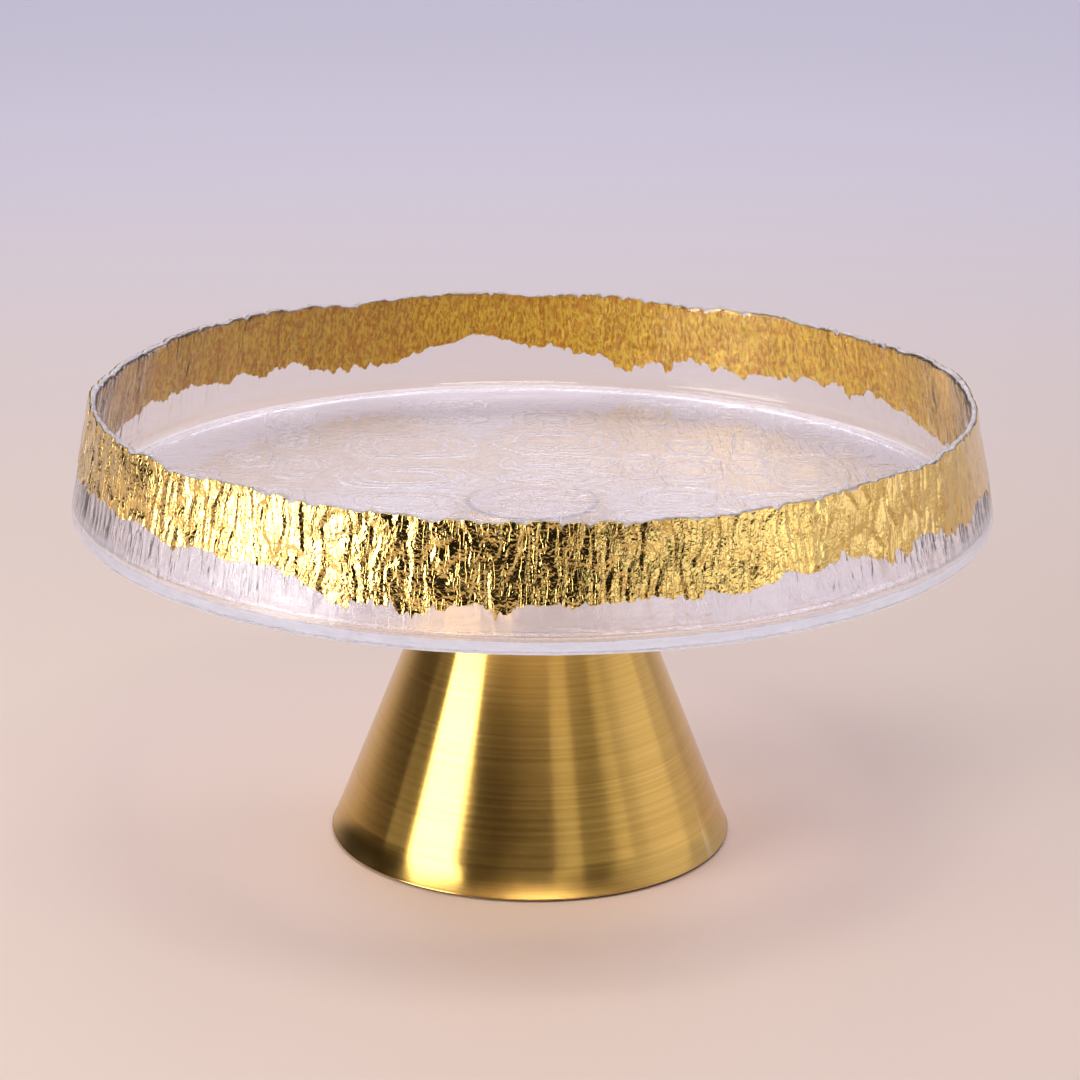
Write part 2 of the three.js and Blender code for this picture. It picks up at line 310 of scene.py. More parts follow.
class Tree:
    """Short ways to add nodes to one node tree."""

    def __init__(self, tree: bpy.types.NodeTree) -> None:
        """Takes an empty node tree."""
        self.tree = tree

    def set(self, node: bpy.types.Node, values: dict) -> bpy.types.Node:
        """Sets or links inputs of a node.

        Args:
            node: The node.
            values: Values or output sockets for its inputs, by name or number.

        Returns:
            The same node.
        """
        for key, value in values.items():
            if isinstance(value, Socket):
                self.tree.links.new(value, node.inputs[key])
            else:
                node.inputs[key].default_value = value
        return node

    def add(self, kind: str, values: dict | None = None, **settings: object) -> bpy.types.Node:
        """Adds a node.

        Args:
            kind: Node type, such as ShaderNodeMath.
            values: Values or output sockets for its inputs, by name or number.
            **settings: Properties of the node.

        Returns:
            The node.
        """
        node = self.tree.nodes.new(kind)
        for key, value in settings.items():
            setattr(node, key, value)
        return self.set(node, values or {})

    def effect(self, effect: Effect, **values: object) -> bpy.types.NodeOutputs:
        """Outputs of a shared effect's group, placed with its own input values."""
        return self.add("ShaderNodeGroup", values, node_tree=EFFECTS.group(effect)).outputs

    def math(self, operation: str, a: object, b: object = 0.0, c: object = 0.0) -> Socket:
        """Result of a Math node."""
        return self.add("ShaderNodeMath", {0: a, 1: b, 2: c}, operation=operation).outputs[0]

    def times(self, a: object, b: object) -> Socket:
        """Product of two numbers."""
        return self.math("MULTIPLY", a, b)

    def spread(
        self, value: object, low: float, high: float, to_low: float = 0.0, to_high: float = 1.0
    ) -> Socket:
        """A value moved smoothly from one range to another, and kept inside it."""
        values = {"Value": value, "From Min": low, "From Max": high, "To Min": to_low, "To Max": to_high}
        return self.add("ShaderNodeMapRange", values, interpolation_type="SMOOTHSTEP").outputs[0]

    def near(self, value: Socket, middle: float, width: float, at: float = 1.0, off: float = 0.0) -> Socket:
        """Number that is at where a value passes the middle, and off from a width away."""
        away = self.math("ABSOLUTE", self.math("SUBTRACT", value, middle))
        return self.spread(away, 0.0, width, at, off)

    def blend(self, share: object, first: object, second: object) -> Socket:
        """Mix of two numbers."""
        return self.add("ShaderNodeMix", {0: share, 2: first, 3: second}).outputs[0]

    def mix(self, share: object, first: object, second: object) -> Socket:
        """Mix of two colours."""
        return self.add("ShaderNodeMix", {0: share, 6: first, 7: second}, data_type="RGBA").outputs[2]

    def noise(self, place: Socket, scale: float, detail: float = 3.0, rough: float = 0.55) -> Socket:
        """Value of a Noise texture, about 0 to 1."""
        values = {"Vector": place, "Scale": scale, "Detail": detail, "Roughness": rough}
        return self.add("ShaderNodeTexNoise", values).outputs[0]

    def nearest(self, place: Socket, scale: float) -> Socket:
        """Distance to the nearest point of a Voronoi texture."""
        values = {"Vector": place, "Scale": scale}
        return self.add("ShaderNodeTexVoronoi", values, feature="F1").outputs["Distance"]

    def place(self) -> Socket:
        """Object coordinates."""
        return self.add("ShaderNodeTexCoord").outputs["Object"]

    def axes(self, vector: Socket) -> bpy.types.NodeOutputs:
        """The three parts of a vector."""
        return self.add("ShaderNodeSeparateXYZ", {0: vector}).outputs

    def stored(self, name: str) -> Socket:
        """Number stored on the mesh's points."""
        return self.add("ShaderNodeAttribute", attribute_name=name).outputs["Fac"]

    def stretched(self, scale: tuple[float, float, float]) -> Socket:
        """Object coordinates, scaled along each axis."""
        return self.add("ShaderNodeMapping", {"Vector": self.place(), "Scale": scale}).outputs[0]

    def banded(self, around: float, up: float) -> Socket:
        """Coordinates that run round the stand, up it and not out from its axis.

        Args:
            around: Length that one radian round the stand stands for.
            up: Scale of the heights; under 1, a pattern stretches upright.

        Returns:
            The coordinates.
        """
        x, y, z = self.axes(self.place())
        flat = self.add("ShaderNodeCombineXYZ", {0: x, 1: y}).outputs[0]
        way = self.add("ShaderNodeVectorMath", {0: flat}, operation="NORMALIZE").outputs[0]
        wide = self.add("ShaderNodeVectorMath", {0: way, "Scale": around}, operation="SCALE").outputs[0]
        lift = self.add("ShaderNodeCombineXYZ", {2: self.times(z, up)}).outputs[0]
        return self.add("ShaderNodeVectorMath", {0: wide, 1: lift}, operation="ADD").outputs[0]

    def bump(self, height: Socket, depth: float, after: Socket | None = None) -> Socket:
        """Normal bent by a height in 0 to 1.

        Args:
            height: The height.
            depth: What a height of 1 stands for, in metres.
            after: Normal that is bent already, if any.

        Returns:
            The normal.
        """
        values = {"Height": height, "Strength": 1.0, "Distance": depth}
        if after is not None:
            values["Normal"] = after
        return self.add("ShaderNodeBump", values).outputs[0]


class EffectLibrary:
    """Builds each shared node group once."""

    def group(self, effect: Effect) -> bpy.types.NodeTree:
        """The node group of an effect, built when it is first asked for.

        Args:
            effect: The effect.

        Returns:
            Its group.
        """
        found = bpy.data.node_groups.get(effect.value)
        if found is not None:
            return found
        made = bpy.data.node_groups.new(effect.value, "ShaderNodeTree")
        builders = {
            Effect.BRUSHING: self._brushing,
            Effect.SMUDGES: self._smudges,
            Effect.SPECKLE: self._speckle,
            Effect.EDGE_WEAR: self._edge_wear,
        }
        builders[effect](made)
        return made

    @staticmethod
    def _inputs(made: bpy.types.NodeTree, inputs: dict[str, float]) -> bpy.types.NodeOutputs:
        """Makes a group's inputs.

        Args:
            made: The group.
            inputs: Their usual values, by name.

        Returns:
            The sockets that give the values inside the group.
        """
        for name, value in inputs.items():
            socket = made.interface.new_socket(name=name, in_out="INPUT", socket_type="NodeSocketFloat")
            socket.default_value = value
        return made.nodes.new("NodeGroupInput").outputs

    @staticmethod
    def _outputs(made: bpy.types.NodeTree, outputs: dict[str, Socket]) -> None:
        """Makes a group's outputs and links them.

        Args:
            made: The group.
            outputs: What each output gives, by name.
        """
        for name in outputs:
            made.interface.new_socket(name=name, in_out="OUTPUT", socket_type="NodeSocketFloat")
        Tree(made).set(made.nodes.new("NodeGroupOutput"), outputs)

    def _brushing(self, made: bpy.types.NodeTree) -> None:
        """Fine lines round the axis, on upright and flat faces alike.

        Args:
            made: The empty group.
        """
        tree = Tree(made)
        given = self._inputs(made, {"Lines": 5000.0, "Length": 30.0})
        x, y, z = tree.axes(tree.place())
        flat = tree.add("ShaderNodeCombineXYZ", {0: x, 1: y}).outputs[0]
        from_axis = tree.add("ShaderNodeVectorMath", {0: flat}, operation="LENGTH").outputs["Value"]
        along = tree.math("ADD", z, tree.times(from_axis, 0.7))
        drawn = {
            0: tree.times(x, given["Length"]),
            1: tree.times(y, given["Length"]),
            2: tree.times(along, given["Lines"]),
        }
        vector = tree.add("ShaderNodeCombineXYZ", drawn).outputs[0]
        fine = tree.noise(vector, 1.0, 2.0, 0.6)
        coarse = tree.noise(vector, 0.3, 3.0, 0.7)
        height = tree.math("ADD", tree.times(fine, 0.85), tree.times(coarse, 0.15))
        self._outputs(made, {"Height": height, "Shade": tree.spread(coarse, 0.3, 0.7)})

    def _smudges(self, made: bpy.types.NodeTree) -> None:
        """Broad soft patches left by handling and wiping.

        Args:
            made: The empty group.
        """
        tree = Tree(made)
        given = self._inputs(made, {"Scale": 30.0})
        values = {"Vector": tree.place(), "Scale": given["Scale"], "Detail": 5.0, "Distortion": 0.8}
        patches = tree.add("ShaderNodeTexNoise", values).outputs[0]
        self._outputs(made, {"Mask": tree.spread(patches, 0.35, 0.7)})

    def _speckle(self, made: bpy.types.NodeTree) -> None:
        """Fine grain, as a height and as a mask.

        Args:
            made: The empty group.
        """
        tree = Tree(made)
        given = self._inputs(made, {"Scale": 1500.0})
        values = {"Vector": tree.place(), "Scale": given["Scale"], "Detail": 2.0}
        grain = tree.add("ShaderNodeTexNoise", values).outputs[0]
        self._outputs(made, {"Height": grain, "Mask": tree.spread(grain, 0.4, 0.65)})

    def _edge_wear(self, made: bpy.types.NodeTree) -> None:
        """Mask of worn outer edges, broken up by noise.

        Args:
            made: The empty group.
        """
        tree = Tree(made)
        given = self._inputs(made, {"Amount": 0.5})
        sharp = tree.add("ShaderNodeNewGeometry").outputs["Pointiness"]
        edge = tree.spread(sharp, 0.51, 0.58)
        broken = tree.noise(tree.place(), 400.0, 3.0, 0.6)
        self._outputs(made, {"Mask": tree.times(tree.times(edge, broken), given["Amount"])})


EFFECTS = EffectLibrary()


class Surface(Tree):
    """A new material with a Principled shader."""

    def __init__(self, name: str) -> None:
        """Makes the material.

        Args:
            name: Name of the material.
        """
        self.material = bpy.data.materials.new(name)
        self.material.use_nodes = True
        self.material.node_tree.nodes.clear()
        super().__init__(self.material.node_tree)
        self.shader = self.add("ShaderNodeBsdfPrincipled")
        self.output = self.add("ShaderNodeOutputMaterial", {"Surface": self.shader.outputs[0]})

    def feed(self, values: dict) -> bpy.types.Material:
        """Sets or links the shader's inputs by name, and gives back the material."""
        self.set(self.shader, values)
        return self.material


# ---- finishes


@dataclass(frozen=True)
class MouldedGlass:
    """Clear glass, fire-polished inside and stippled where it lay on the mould.

    The roughness is polished on the inside, wall_grain on the outside of the wall, stippled under
    the floor and ground at the rim.
    """

    floor_height: float
    cell_rings: tuple[float, ...]
    tint: Colour = (0.985, 0.965, 0.985, 1.0)
    haze: Colour = (0.95, 0.92, 0.95, 1.0)
    shaded: Colour = (0.93, 0.9, 0.93, 1.0)
    polished: float = 0.05
    smeared: float = 0.04
    wall_grain: float = 0.11
    stippled: float = 0.40
    ground: float = 0.6
    hazy: float = 0.25
    index: float = 1.45
    shine: float = 0.38
    stipple_depth: float = 0.05 * MM
    drip_depth: float = 0.13 * MM
    ripple_depth: float = 0.12 * MM
    line_depth: float = 0.33 * MM
    line_width: float = 0.55

    def material(self) -> bpy.types.Material:
        """Builds the glass.

        Returns:
            The material.
        """
        tree = Surface("moulded_glass")
        place = tree.place()
        x, y, z = tree.axes(place)
        under = tree.spread(z, self.floor_height - 2.4 * MM, self.floor_height - 1.2 * MM, 1.0, 0.0)
        facing = tree.axes(tree.add("ShaderNodeNewGeometry").outputs["Normal"])
        dot = tree.math("ADD", tree.times(x, facing[0]), tree.times(y, facing[1]))
        outside = tree.spread(dot, 0.04, 0.09)
        speckle = tree.effect(Effect.SPECKLE, Scale=1300.0)
        smears = tree.effect(Effect.SMUDGES, Scale=22.0)["Mask"]
        polished = tree.math("MULTIPLY_ADD", smears, self.smeared, self.polished)
        rough = tree.blend(outside, polished, self.wall_grain)
        rough = tree.blend(under, rough, self.stippled)
        rough = tree.blend(tree.stored(RIM_MARK), rough, self.ground)
        stipple = tree.times(speckle["Height"], tree.math("MAXIMUM", under, outside))
        normal = tree.bump(stipple, self.stipple_depth)
        normal = tree.bump(tree.times(self._drips(tree), outside), self.drip_depth, normal)
        normal = tree.bump(tree.noise(place, 160.0, 4.0, 0.6), self.ripple_depth, normal)
        tree.feed({
            "Base Color": tree.mix(tree.times(speckle["Mask"], self.hazy), self.tint, self.haze),
            "Roughness": rough,
            "Normal": tree.bump(self._cell_lines(tree), self.line_depth, normal),
            "Transmission Weight": 1.0,
            "IOR": self.index,
            "Specular IOR Level": self.shine,
        })
        clear = tree.add("ShaderNodeBsdfTransparent", {"Color": self.shaded})
        path = tree.add("ShaderNodeLightPath").outputs
        through = tree.math("MAXIMUM", path["Is Shadow Ray"], path["Is Diffuse Ray"])
        both = tree.add("ShaderNodeMixShader", {0: through, 1: tree.shader.outputs[0], 2: clear.outputs[0]})
        tree.set(tree.output, {"Surface": both.outputs[0]})
        return tree.material

    def _drips(self, tree: Tree) -> Socket:
        """Height of the upright runs down the outside of the wall, and of the lines along the foot.

        Args:
            tree: The glass.

        Returns:
            The height, about 0 to 1 on the wall and up to 3 at the foot.
        """
        bars = tree.near(tree.noise(tree.banded(BAND, 0.2), 150.0, 3.0, 0.6), 0.5, 0.08)
        height = tree.axes(tree.place())[2]
        wander = tree.noise(tree.banded(BAND, 0.0), 60.0, 2.0)
        reach = tree.math("MULTIPLY_ADD", wander, -22.0 * MM, height)
        shown = tree.spread(reach, self.floor_height - 8.0 * MM, self.floor_height - 2.0 * MM)
        lines = tree.noise(tree.banded(0.02, 1.0), 620.0, 3.0, 0.6)
        at_foot = tree.spread(height, self.floor_height - 1.5 * MM, self.floor_height + 1.5 * MM, 3.0, 0.0)
        return tree.math("MULTIPLY_ADD", lines, at_foot, tree.times(bars, shown))

    def _cell_lines(self, tree: Tree) -> Socket:
        """Height of the thin lines round the floor's cells and of the streaks between them.

        Args:
            tree: The glass.

        Returns:
            The height.
        """
        cell = tree.stored(CELL_MARK)
        jagged = tree.noise(tree.stretched((260.0, 380.0, 1.0)), 1.0, 4.0, 0.65)
        depth = tree.math("MULTIPLY_ADD", tree.math("SUBTRACT", jagged, 0.5), 4.0, cell)
        lines = tree.spread(depth, -0.5, 0.5, 0.4, 0.0)
        for ring in self.cell_rings:
            lines = tree.math("ADD", lines, tree.near(depth, ring, self.line_width, 0.8))
        streaks = tree.noise(tree.stretched((380.0, 38.0, 1.0)), 1.0, 3.0, 0.6)
        between = tree.times(tree.spread(cell, 0.5, 2.0), tree.spread(cell, 17.0, 19.0, 1.0, 0.0))
        side = tree.spread(tree.axes(tree.place())[0], 0.0, 0.05, 0.3, 2.6)
        return tree.math("MULTIPLY_ADD", streaks, tree.times(between, side), lines)


@dataclass(frozen=True)
class GroundGlassAndHighlight:
    """The frosted white of a finely ground glass edge, together with a painted highlight: its pale colour
    also stands in for the overhead light's white reflection along the rim.
    """

    # colour: near white, partly the frost of the ground edge and partly a painted highlight along the rim
    colour: Colour = (0.93, 0.88, 0.90, 1.0)
    dull: Colour = (0.74, 0.69, 0.71, 1.0)
    grain_depth: float = 0.08 * MM
    transmission: float = 0.45

    def material(self) -> bpy.types.Material:
        """Builds the ground edge.

        Returns:
            The material.
        """
        tree = Surface("ground_glass_and_highlight")
        grain = tree.effect(Effect.SPECKLE, Scale=900.0)
        clouds = tree.effect(Effect.SMUDGES, Scale=120.0)["Mask"]
        share = tree.times(tree.math("MAXIMUM", grain["Mask"], clouds), 0.8)
        return tree.feed({
            "Base Color": tree.mix(share, self.colour, self.dull),
            "Roughness": tree.spread(clouds, 0.0, 1.0, 0.3, 0.55),
            "Normal": tree.bump(grain["Height"], self.grain_depth),
            "Transmission Weight": self.transmission,
        })


@dataclass(frozen=True)
class MetalLeaf:
    """Thin metal leaf, crumpled as it was laid, or the amber size that shows behind it.

    The colours run from the deep one in the folds to the plain one on the flats: the deep colour is painted
    shade in the creases and low bends of the crumples, mixed with random specks. smoother is the share of the
    crumples that is left to the right.
    """

    name: str
    colour: Colour
    # deep: painted shade colour, put in the creases and low bends of the crumples
    deep: Colour
    smooth: float
    rough: float
    crumple: float
    # weight of the upright folds in the painted fold shading
    fold_shade_weight: float
    grain: float
    fold: float
    metal: float
    smoother: float
    holes: float = 0.0
    varnish: float = 0.0
    varnish_rough: float = 0.12
    bare: Colour = (0.16, 0.06, 0.01, 1.0)

    def _height(self, tree: Tree, band: Socket, bent: Socket, grooves: Socket) -> Socket:
        """Height of the crumples.

        Args:
            tree: The finish.
            band: Coordinates round and up the wall.
            bent: The broad bends.
            grooves: The upright folds.

        Returns:
            The height.
        """
        push = tree.add("ShaderNodeTexNoise", {"Vector": band, "Scale": 500.0, "Detail": 2.0}).outputs[1]
        warp = tree.add("ShaderNodeMix", {0: 0.003, 4: band, 5: push}, data_type="VECTOR").outputs[1]
        height = tree.math("ADD", tree.times(grooves, self.fold), tree.times(tree.nearest(warp, 720.0), 0.55))
        height = tree.math("ADD", height, tree.times(bent, 1.1))
        across = tree.axes(tree.stretched((1.0, 1.0, 1.0)))[0]
        return tree.times(height, tree.spread(across, 0.0, 0.10, 1.0, self.smoother))

    def material(self) -> bpy.types.Material:
        """Builds the leaf.

        Returns:
            The material.
        """
        tree = Surface(self.name)
        band = tree.banded(BAND, 1.0)
        bent = tree.noise(band, 260.0, 3.0, 0.55)
        grooves = tree.near(tree.noise(tree.banded(BAND, 0.22), 330.0, 3.0, 0.55), 0.5, 0.04, 0.0, 1.0)
        patches = tree.effect(Effect.SMUDGES, Scale=55.0)["Mask"]
        # flats is a painted shade mask: 0 in the creases of the upright folds and in the low broad bends,
        # where shade falls, 1 on the raised flats
        flats = tree.spread(tree.math("MULTIPLY_ADD", grooves, self.fold_shade_weight, bent), 0.35, 0.85)
        specks = tree.spread(tree.noise(tree.banded(BAND, 0.45), 950.0, 3.0, 0.65), 0.42, 0.58)
        # painted fold shading, mixed with random specks by grain, from the deep colour to the plain one
        shade = tree.mix(tree.blend(self.grain, flats, specks), self.deep, self.colour)
        hole = tree.spread(tree.nearest(band, 150.0), 0.04, 0.075, self.holes, 0.0)
        return tree.feed({
            "Base Color": tree.mix(hole, shade, self.bare),
            "Roughness": tree.spread(patches, 0.0, 1.0, self.smooth, self.rough),
            "Normal": tree.bump(self._height(tree, band, bent, grooves), self.crumple),
            "Metallic": self.metal,
            "Coat Weight": self.varnish,
            "Coat Roughness": self.varnish_rough,
        })


@dataclass(frozen=True)
class BrushedGold:
    """Satin gold plate, brushed round the cone."""

    colour: Colour = (0.76, 0.495, 0.135, 1.0)
    dark: Colour = (0.65, 0.405, 0.095, 1.0)
    worn: Colour = (0.82, 0.68, 0.42, 1.0)
    roughness: float = 0.19
    line_rough: float = 0.02
    smudge_rough: float = 0.04
    line_depth: float = 0.004 * MM
    anisotropy: float = 0.93
    turned: float = 0.25

    def material(self) -> bpy.types.Material:
        """Builds the brushed plate.

        Returns:
            The material.
        """
        tree = Surface("brushed_gold")
        lines = tree.effect(Effect.BRUSHING, Lines=3600.0, Length=7.0)
        smudged = tree.effect(Effect.SMUDGES, Scale=18.0)["Mask"]
        worn = tree.effect(Effect.EDGE_WEAR, Amount=0.6)["Mask"]
        shade = tree.mix(lines["Shade"], self.dark, self.colour)
        rough = tree.math("MULTIPLY_ADD", lines["Shade"], self.line_rough, self.roughness)
        return tree.feed({
            "Base Color": tree.mix(worn, shade, self.worn),
            "Roughness": tree.math("MULTIPLY_ADD", smudged, self.smudge_rough, rough),
            "Normal": tree.bump(lines["Height"], self.line_depth),
            "Tangent": tree.add("ShaderNodeTangent", direction_type="RADIAL", axis="Z").outputs[0],
            "Metallic": 1.0,
            "Anisotropic": self.anisotropy,
            "Anisotropic Rotation": self.turned,
        })


@dataclass(frozen=True)
class TurnedMetal:
    """Bare or plated steel, turned or rolled, with worn edges."""

    name: str
    colour: Colour
    roughness: float
    lines: float
    worn: Colour = (0.9, 0.9, 0.9, 1.0)
    darker: float = 0.7
    smudge_rough: float = 0.15
    line_depth: float = 0.02 * MM

    def material(self) -> bpy.types.Material:
        """Builds the metal.

        Returns:
            The material.
        """
        tree = Surface(self.name)
        brushed = tree.effect(Effect.BRUSHING, Lines=self.lines, Length=40.0)
        smudged = tree.effect(Effect.SMUDGES, Scale=90.0)["Mask"]
        worn = tree.effect(Effect.EDGE_WEAR, Amount=0.7)["Mask"]
        dark = (*(self.darker * c for c in self.colour[:3]), 1.0)
        return tree.feed({
            "Base Color": tree.mix(worn, tree.mix(brushed["Shade"], dark, self.colour), self.worn),
            "Roughness": tree.math("MULTIPLY_ADD", smudged, self.smudge_rough, self.roughness),
            "Normal": tree.bump(brushed["Height"], self.line_depth),
            "Metallic": 1.0,
        })


@dataclass(frozen=True)
class SoftPad:
    """Matt rubber or foam with fine pores."""

    name: str
    colour: Colour
    pore_scale: float
    roughness: float = 0.95
    pore_shine: float = -0.15
    paler: float = 2.6
    dust: float = 0.02
    dusty: float = 0.45
    pore_depth: float = 0.2 * MM

    def material(self) -> bpy.types.Material:
        """Builds the rubber or foam.

        Returns:
            The material.
        """
        tree = Surface(self.name)
        pores = tree.effect(Effect.SPECKLE, Scale=self.pore_scale)
        dusty = tree.effect(Effect.SMUDGES, Scale=40.0)["Mask"]
        light = (*(min(1.0, self.paler * c + self.dust) for c in self.colour[:3]), 1.0)
        share = tree.times(tree.math("MAXIMUM", pores["Mask"], dusty), self.dusty)
        return tree.feed({
            "Base Color": tree.mix(share, self.colour, light),
            "Roughness": tree.math("MULTIPLY_ADD", pores["Mask"], self.pore_shine, self.roughness),
            "Normal": tree.bump(pores["Height"], self.pore_depth),
        })


@dataclass(frozen=True)
class MilkyAdhesive:
    """Cured milky adhesive with a few small bubbles."""

    colour: Colour = (0.75, 0.57, 0.41, 1.0)
    bubble: Colour = (0.67, 0.51, 0.37, 1.0)
    cloudy: float = 0.4
    bubble_depth: float = 0.05 * MM

    def material(self) -> bpy.types.Material:
        """Builds the adhesive.

        Returns:
            The material.
        """
        tree = Surface("milky_adhesive")
        spots = tree.spread(tree.nearest(tree.place(), 260.0), 0.12, 0.2, 1.0, 0.0)
        clouds = tree.effect(Effect.SMUDGES, Scale=60.0)["Mask"]
        share = tree.math("MAXIMUM", spots, tree.times(clouds, self.cloudy))
        return tree.feed({
            "Base Color": tree.mix(share, self.colour, self.bubble),
            "Roughness": tree.spread(spots, 0.0, 1.0, 0.35, 0.6),
            "Normal": tree.bump(spots, self.bubble_depth),
        })


# ---- glass tray and gilding


@dataclass(frozen=True)
class BarkRelief:
    """Upright, wandering folds like bark, pressed into the outside of the wall.

    Busy stretches of the wall alternate with calm ones.
    """

    swell: WrappedNoise = WrappedNoise(11, 60, 0.024)
    fold: WrappedNoise = WrappedNoise(12, 140, 0.026)
    ridge: WrappedNoise = WrappedNoise(13, 340, 0.013)
    fine: WrappedNoise = WrappedNoise(14, 820, 0.004)
    wander: WrappedNoise = WrappedNoise(15, 100, 0.008)
    calm: WrappedNoise = WrappedNoise(19, 26, 0.060)
    swell_depth: float = 0.50 * MM
    fold_depth: float = 0.36 * MM
    ridge_depth: float = 0.12 * MM
    fine_depth: float = 0.05 * MM
    foil_depth: float = 0.30 * MM
    drift: float = 0.0020
    busiest: float = -0.36
    quietest: float = 0.22

    def _moved(self, turn: np.ndarray, height: np.ndarray) -> np.ndarray:
        """Turns pushed aside, so that the folds wander."""
        return turn + self.drift * self.wander.at(turn, height)

    def _busy(self, turn: np.ndarray, height: np.ndarray) -> np.ndarray:
        """How busy the wall is at a place, up to 1."""
        side = 0.6 * np.cos((turn - self.busiest) * math.tau) + 0.7 * self.calm.at(turn, height)
        return self.quietest + (1 - self.quietest) * ease(0.5 + side)

    def at(self, turn: np.ndarray, height: np.ndarray) -> np.ndarray:
        """How far the glass stands in or out.

        Args:
            turn: Places round the wall, in turns.
            height: Heights above the table.

        Returns:
            Distances, positive outwards.
        """
        moved, busy = self._moved(turn, height), self._busy(turn, height)
        folds = creased(self.fold.at(moved, height), width=0.24, level=0.85)
        ridges = creased(self.ridge.at(moved, height), width=0.35, level=0.8)
        return (
            self.swell_depth * self.swell.at(turn, height)
            + self.fold_depth * busy * folds
            + self.ridge_depth * busy * ridges
            + self.fine_depth * self.fine.at(moved, height)
        )

    def foil(self, turn: np.ndarray, height: np.ndarray) -> np.ndarray:
        """How far the leaf stands off the glass, over the air caught in its folds.

        Args:
            turn: Places round the wall, in turns.
            height: Heights above the table.

        Returns:
            Distances from the glass.
        """
        moved, busy = self._moved(turn, height), self._busy(turn, height)
        bars = creased(self.ridge.at(moved, height), width=0.30)
        return self.foil_depth * busy * bars


@dataclass(frozen=True)
class FloorCells:
    """Flat oval cells ringed by ripples, in columns, pressed into the floor.

    Each plate is the place of its middle and its half width and half depth, in millimetres. The
    front half of the floor repeats the back half turned half way round.
    """

    plates: tuple[tuple[float, float, float, float], ...] = (
        (-87, 95, 9, 13), (-84, 70, 9, 12), (-97, 42, 7, 10), (-80, 33, 9, 14), (-34, 116, 16, 8),
        (-34, 96, 17, 6), (-43, 60, 23, 15), (-43, 23, 23, 13), (-42, -7, 21, 11), (7, 99, 15, 10),
        (8, 68, 20, 15), (7, 41, 19, 8), (8, 22, 18, 8), (6, 4, 17, 6), (6, -10, 17, 6), (41, 106, 7, 18),
        (54, 109, 5, 10), (36, 37, 6, 14), (54, 62, 6, 8), (53, 33, 10, 17), (75, 68, 6, 14),
        (73, 40, 6, 10), (73, 108, 6, 7), (92, 32, 13, 20), (109, 62, 9, 11), (96, 86, 8, 9),
        (48, 0, 12, 11), (84, -4, 14, 10), (-84, 0, 9, 12), (-112, 16, 8, 14), (119, 26, 7, 15),
    )
    half: float = 15.0
    squareness: float = 3.0
    plate: float = 0.14 * MM
    ripple: float = 0.13 * MM
    rings: tuple[float, ...] = (0.0, -4.2, -8.0)
    ring_width: float = 1.2
    bead: float = 0.55 * MM
    bead_place: float = 2.6 * MM
    bead_width: float = 2.0 * MM
    far: float = 20.0

    def depth(self, x: np.ndarray, y: np.ndarray) -> np.ndarray:
        """Distance from the nearest cell's outline.

        Args:
            x: Places to the right.
            y: Places towards the back.

        Returns:
            Distances in millimetres, negative inside a cell.
        """
        turn, away = np.arctan2(y, x) / math.tau, np.hypot(x, y)
        bend = WrappedNoise(22, 60, 0.013).at(turn, away) * 1.5
        bow = WrappedNoise(23, 50, 0.016).at(turn, away) * 1.5
        turned = [(-a, -b, w, d) for a, b, w, d in self.plates if b > self.half]
        nearest = np.full(x.shape, self.far)
        for a, b, wide, deep in (*self.plates, *turned):
            across = np.abs((x / MM + bend - a) / wide)
            along = np.abs((y / MM + bow - b) / deep)
            share = (across**self.squareness + along**self.squareness) ** (1 / self.squareness)
            nearest = np.minimum(nearest, (share - 1) * (wide + deep) / 2)
        return nearest

    def at(self, x: np.ndarray, y: np.ndarray, edge: float) -> np.ndarray:
        """Height of the relief at each point of the floor.

        Args:
            x: Places to the right.
            y: Places towards the back.
            edge: Radius of the flat floor.

        Returns:
            Heights above the floor.
        """
        depth = self.depth(x, y)
        height = self.plate * ease((0.8 - depth) / 1.6)
        for ring in self.rings:
            height = height + self.ripple * ease(1 - np.abs(depth - ring) / self.ring_width)
        turn, away = np.arctan2(y, x) / math.tau, np.hypot(x, y)
        wobble = round_noise(26, 90, turn)
        lumps = 0.7 + 0.3 * round_noise(27, 240, turn)
        offset = np.abs(edge - away - self.bead_place * (1 + 0.25 * wobble)) / self.bead_width
        return height + self.bead * lumps * ease(1 - offset)


